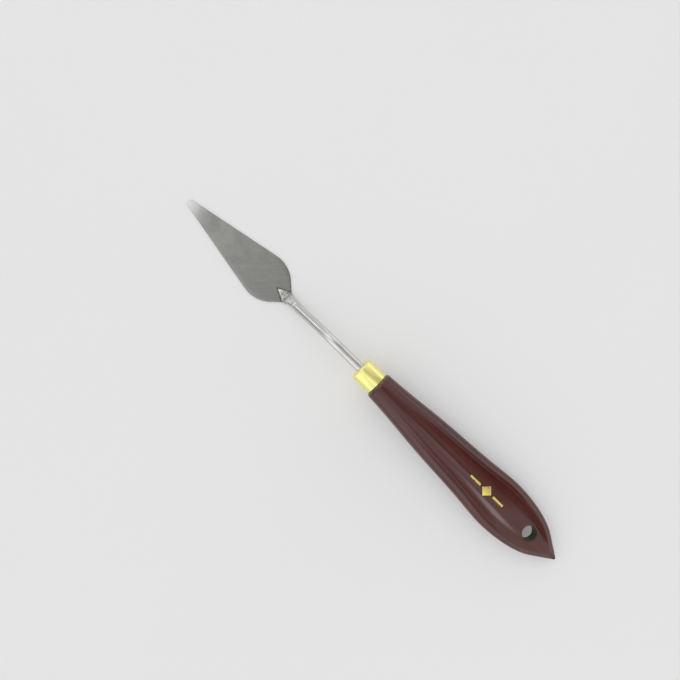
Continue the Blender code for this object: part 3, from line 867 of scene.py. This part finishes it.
def build_handle(material):
    """Rings of the bore, tenon, front edge and outer skin, with a patch of loops round each
    mouth of the hang hole and a wall through it."""
    segments = ROUND_SEGMENTS
    circle = superellipse(1.0, 1.0, 2.0, segments)
    rings = handle_inner_rings(circle)
    first_outer = len(rings)
    stations = handle_outer_stations()
    for position in stations:
        width, thickness = handle_halves(position)
        rings.append([Vector((position, width * c, thickness * s)) for c, s in circle])

    hole = HANDLE_LENGTH - HANG_HOLE_FROM_TAIL
    lip_radius = HANG_HOLE_RADIUS + HANG_HOLE_LIP
    reach = lip_radius + HANG_HOLE_PATCH
    near_ring = first_outer + max(i for i, p in enumerate(stations) if p < hole - reach)
    far_ring = first_outer + min(i for i, p in enumerate(stations) if p > hole + reach)
    first = max(i for i in range(segments // 4)
                if half_width_at(hole) * math.cos(2.0 * math.pi * i / segments) > reach)
    last = segments // 2 - first

    vertices = [point for ring in rings for point in ring]
    numbers = [list(range(i * segments, (i + 1) * segments)) for i in range(len(rings))]

    def in_patch(ring, segment):
        mirrored = segments - 1 - segment
        return near_ring <= ring < far_ring and (
            first <= segment < last or first <= mirrored < last)

    faces = []
    for ring in range(len(rings) - 1):
        for segment in range(segments):
            following = (segment + 1) % segments
            if not in_patch(ring, segment):
                faces.append((numbers[ring][segment], numbers[ring][following],
                              numbers[ring + 1][following], numbers[ring + 1][segment]))
    add_cap(vertices, faces, numbers[0])
    add_cap(vertices, faces, numbers[-1])

    border = ([(near_ring, j) for j in range(first, last)]
              + [(i, last) for i in range(near_ring, far_ring)]
              + [(far_ring, j) for j in range(last, first, -1)]
              + [(i, first) for i in range(far_ring, near_ring, -1)])
    hole_wall = [0.0] * len(vertices)
    upper_loops = [[numbers[i][j] for i, j in border]]
    lower_loops = [[numbers[i][(segments - j) % segments] for i, j in border]]
    outward = []
    for i, j in border:
        flat = Vector((rings[i][j].x - hole, rings[i][j].y))
        outward.append((flat, flat.normalized()))

    def add_hole_loops(points, mark):
        for loops, side in ((upper_loops, 1.0), (lower_loops, -1.0)):
            loop = []
            for x, y, z in points:
                vertices.append(Vector((hole + x, y, z * side)))
                hole_wall.append(mark)
                loop.append(len(vertices) - 1)
            loops.append(loop)

    for step in range(1, PATCH_STEPS + 1):
        share = step / PATCH_STEPS
        points = []
        for flat, direction in outward:
            spot = flat.lerp(direction * lip_radius, share)
            points.append((spot.x, spot.y, handle_top(hole + spot.x, spot.y)))
        add_hole_loops(points, 0.0)
    rim = [(d, handle_top(hole + d.x * lip_radius, d.y * lip_radius)) for _, d in outward]
    for step in range(1, LIP_STEPS + 1):
        angle = math.pi / 2.0 * step / LIP_STEPS
        radius = lip_radius - HANG_HOLE_LIP * math.sin(angle)
        drop = HANG_HOLE_LIP * (1.0 - math.cos(angle))
        add_hole_loops([(d.x * radius, d.y * radius, z - drop) for d, z in rim],
                       step / LIP_STEPS)
    for step in range(1, WALL_STEPS + 1):
        share = 1.0 - step / (WALL_STEPS + 1)
        add_hole_loops([(d.x * HANG_HOLE_RADIUS, d.y * HANG_HOLE_RADIUS,
                         (z - HANG_HOLE_LIP) * share) for d, z in rim], 1.0)
    for loops in (upper_loops, lower_loops):
        for near, far in zip(loops, loops[1:]):
            bridge(faces, near, far)
    bridge(faces, upper_loops[-1], lower_loops[-1])

    piece = add_piece("handle_wood", place_on_handle(vertices), faces, material, vertices,
                      {"hole_wall": hole_wall}, sharp_degrees=50.0)
    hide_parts("handle")
    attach(piece, GRIP_BODY)


def build_ferrule(material):
    """Drawn cup: rounded front corner, a slightly dished front with a rolled-in hole."""
    front = -(FERRULE_LENGTH + FERRULE_TO_HANDLE)
    rear = -FERRULE_TO_HANDLE
    inner = FERRULE_RADIUS - FERRULE_WALL
    hole = SHANK_RADIUS + FERRULE_TO_SHANK
    # Corners of the wall's section: along the axis, out from it, radius
    outline = rounded_path([
        (front + 0.12 * MM, hole, 0.10 * MM),
        (front + 0.02 * MM, hole + 0.9 * MM, 0.4 * MM),
        (front, FERRULE_RADIUS, 0.75 * MM),
        (rear, FERRULE_RADIUS, 0.12 * MM),
        (rear, inner, 0.10 * MM),
        (front + FERRULE_WALL, inner, 0.2 * MM),
        (front + FERRULE_WALL, hole, 0.05 * MM),
    ], True, FERRULE_ARC_STEP)
    circle = superellipse(1.0, 1.0, 2.0, ROUND_SEGMENTS)
    rings = [[Vector((p.x, p.y * c, p.y * s)) for c, s in circle] for p in outline]
    vertices, faces = ring_mesh(rings, joined_ends=True)
    piece = add_piece("ferrule_cup", place_on_handle(vertices), faces, material, vertices,
                      sharp_degrees=50.0)
    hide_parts("ferrule")
    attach(piece, GRIP_BODY)


# ---- Stage -----------------------------------------------------------------------------

FLOOR_HALF = 12.0
FLOOR_DROP = 0.05 * MM
FLOOR_GLOW = 0.16

DOME_BRIGHTNESS = 0.98
BACKDROP_BRIGHTNESS = 0.78
# Soft patches of the dome: direction, radius of the even middle and outer radius in degrees,
# brightness. Where patches overlap, the later one covers the earlier one.
DOME_PATCHES = [
    # round the horizon and below it
    ((0.0, 0.0, -1.0), 92.0, 114.0, 1.50),
    # overhead, and low beside the knife
    ((-0.11, -0.14, 0.98), 5.0, 22.0, 0.34),
    ((-0.55, -0.62, 0.56), 8.0, 20.0, 0.20),
    ((0.65, -0.70, 0.30), 10.0, 24.0, 0.70),
    ((0.60, 0.78, 0.19), 12.0, 30.0, 0.45),
    ((-0.05, 0.88, 0.48), 8.0, 24.0, 1.40),
    # seen in the handle
    ((-0.27, 0.60, 0.75), 4.0, 9.5, 0.50),
    ((-0.29, 0.81, 0.51), 5.0, 11.5, 0.50),
    ((-0.30, -0.27, 0.91), 3.0, 10.0, 0.50),
    ((-0.30, -0.50, 0.81), 4.0, 14.0, 0.20),
    ((-0.29, -0.69, 0.66), 5.0, 11.0, 0.08),
    ((-0.29, -0.86, 0.42), 4.0, 9.5, 0.15),
    ((-0.28, 0.06, 0.96), 2.0, 8.0, 1.30),
    ((-0.37, 0.32, 0.87), 1.5, 7.5, 3.4),
    # seen in the shank's slope
    ((0.76, 0.03, 0.65), 12.0, 28.0, 0.45),
    ((0.36, 0.0, 0.93), 5.0, 16.0, 1.5),
    ((0.60, 0.03, 0.80), 5.0, 16.0, 1.3),
    ((0.77, 0.16, 0.61), 3.5, 11.0, 2.0),
]

CAMERA_DISTANCE = 0.44
CAMERA_VIEW_WIDTH = 0.2765
CAMERA_LEAN = math.radians(3.0)
CAMERA_SENSOR = 36.0
CAMERA_CLIP_START = 0.01
KNIFE_ANGLE_IN_VIEW = math.radians(44.4)
VIEW_MIDDLE = Vector((TIP_X - 83.3 * MM, -2.76 * MM, 0.0))


def build_floor():
    """A plain pale table that glows a little, just under the knife."""
    s = Surface("pale_table")
    tone = s.noise((6.0, 6.0, 6.0), detail=2.0)
    s.set(Base_Color=s.blend(tone, FLOOR_GREY, FLOOR_PALE), Roughness=0.8,
          Emission_Color=(1.0, 1.0, 1.0, 1.0), Emission_Strength=FLOOR_GLOW)
    corners = [(x * FLOOR_HALF, y * FLOOR_HALF, -FLOOR_DROP)
               for x, y in ((-1, -1), (1, -1), (1, 1), (-1, 1))]
    floor = add_piece("pale_floor", corners, [(0, 1, 2, 3)], s.material)


def build_light():
    """A soft dome with dim and bright patches. The camera sees a plain backdrop instead."""
    world = bpy.data.worlds.new("studio")
    world.use_nodes = True
    nodes = world.node_tree.nodes

    def mixed(share, first, second):
        mix = nodes.new("ShaderNodeMix")
        for name, value in (("Factor", share), ("A", first), ("B", second)):
            feed(mix.inputs[name], value)
        return mix.outputs["Result"]

    direction = nodes.new("ShaderNodeTexCoord").outputs["Generated"]
    level = DOME_BRIGHTNESS
    for centre, inner, outer, brightness in DOME_PATCHES:
        closeness = nodes.new("ShaderNodeVectorMath")
        closeness.operation = "DOT_PRODUCT"
        feed(closeness.inputs[0], direction)
        feed(closeness.inputs[1], Vector(centre).normalized())
        share = nodes.new("ShaderNodeMapRange")
        share.interpolation_type = "SMOOTHSTEP"
        feed(share.inputs["Value"], closeness.outputs["Value"])
        feed(share.inputs["From Min"], math.cos(math.radians(outer)))
        feed(share.inputs["From Max"], math.cos(math.radians(inner)))
        level = mixed(share.outputs["Result"], level, brightness)
    seen_by_camera = nodes.new("ShaderNodeLightPath").outputs["Is Camera Ray"]
    background = nodes["Background"]
    feed(background.inputs["Strength"], mixed(seen_by_camera, level, BACKDROP_BRIGHTNESS))
    feed(background.inputs["Color"], (1.0, 1.0, 1.0, 1.0))
    bpy.context.scene.world = world
    bpy.context.scene.view_settings.view_transform = "Standard"


def build_camera():
    """Looks down, leaning a little to +Y; the knife runs from upper left to lower right."""
    backward = Vector((0.0, math.sin(CAMERA_LEAN), math.cos(CAMERA_LEAN)))
    data = bpy.data.cameras.new("camera")
    data.sensor_width = CAMERA_SENSOR
    data.lens = CAMERA_SENSOR * CAMERA_DISTANCE / CAMERA_VIEW_WIDTH
    data.clip_start = CAMERA_CLIP_START
    camera = bpy.data.objects.new("camera", data)
    camera.location = VIEW_MIDDLE + backward * CAMERA_DISTANCE
    right = Vector((-math.cos(KNIFE_ANGLE_IN_VIEW), -math.sin(KNIFE_ANGLE_IN_VIEW), 0.0))
    right = (right - backward * right.dot(backward)).normalized()
    facing = Matrix((right, backward.cross(right), backward)).transposed()
    camera.rotation_mode = "QUATERNION"
    camera.rotation_quaternion = facing.to_quaternion()
    bpy.context.scene.collection.objects.link(camera)
    bpy.context.scene.camera = camera


# ---- The whole scene -------------------------------------------------------------------

def dress_cad_nodes(names, material):
    """Gives a node material to CAD nodes that stay as they are."""
    for name in names:
        for slot in frame["nodes"][name].material_slots:
            slot.material = material


build_camera()
build_light()
build_floor()
build_blade(blade_steel())
build_shank(shank_steel())
build_ferrule(ferrule_brass())
build_handle(lacquered_wood())
dress_cad_nodes(("foil_lozenge", "foil_bar_front", "foil_bar_rear"), gold_foil())
dress_cad_nodes(("spot_weld_front", "spot_weld_rear"), weld_metal())
dress_cad_nodes(("tang_adhesive",), set_adhesive())
